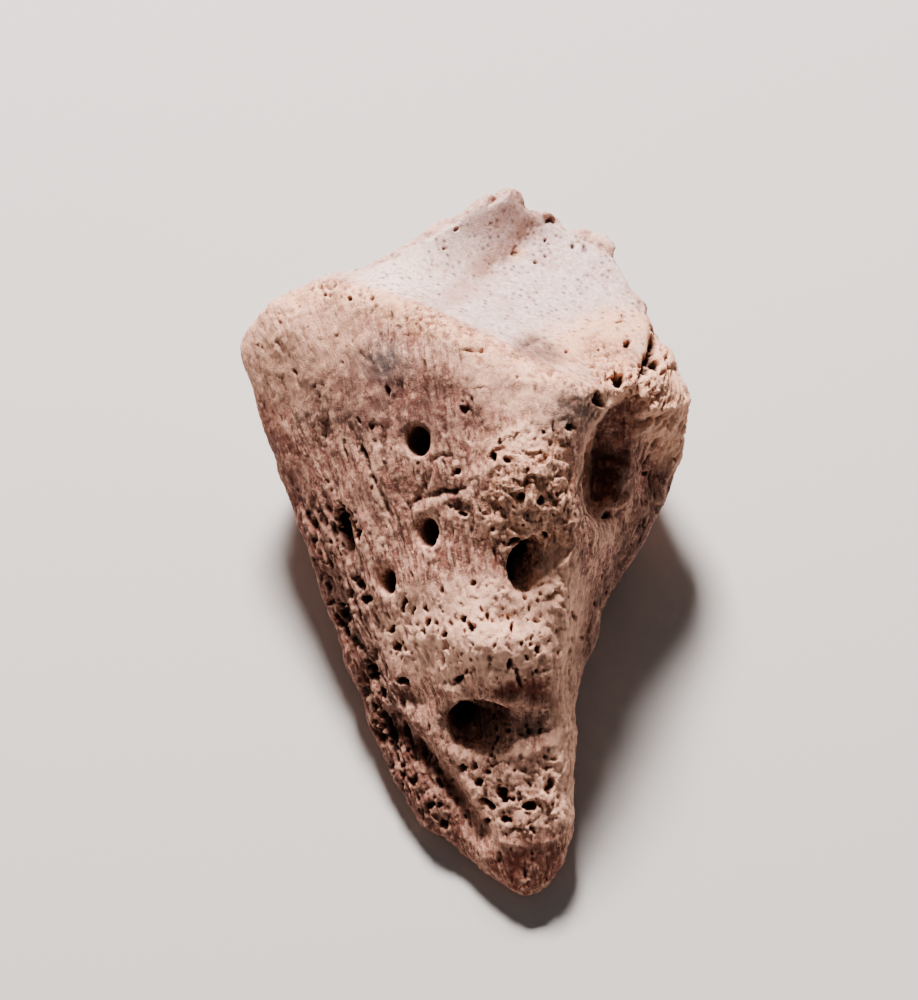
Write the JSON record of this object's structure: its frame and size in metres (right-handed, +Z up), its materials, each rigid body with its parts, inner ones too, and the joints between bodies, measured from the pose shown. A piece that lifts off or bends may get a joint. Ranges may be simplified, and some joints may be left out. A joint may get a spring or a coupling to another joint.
{
  "type": "fossil rhinoceros hoof bone",
  "caption": "Fossil last toe bone of a large rhinoceros: a lopsided wedge with a smooth hollowed joint face, a porous weathered front with blood vessel canals, and a blunt tip.",
  "frame": {"origin": "under the middle of the bone's box, on the surface that it lies on", "axes": "+Y from the toe end to the joint end, +Z up from the sole, -X towards the outer flank"},
  "size_m": [0.0486, 0.0744, 0.0342],
  "materials": {
    "fossil_bone": "dry, rough, weathered"
  },
  "bodies": {
    "root": {"hoof_bone": "fossil_bone"}
  },
  "joints": []
}
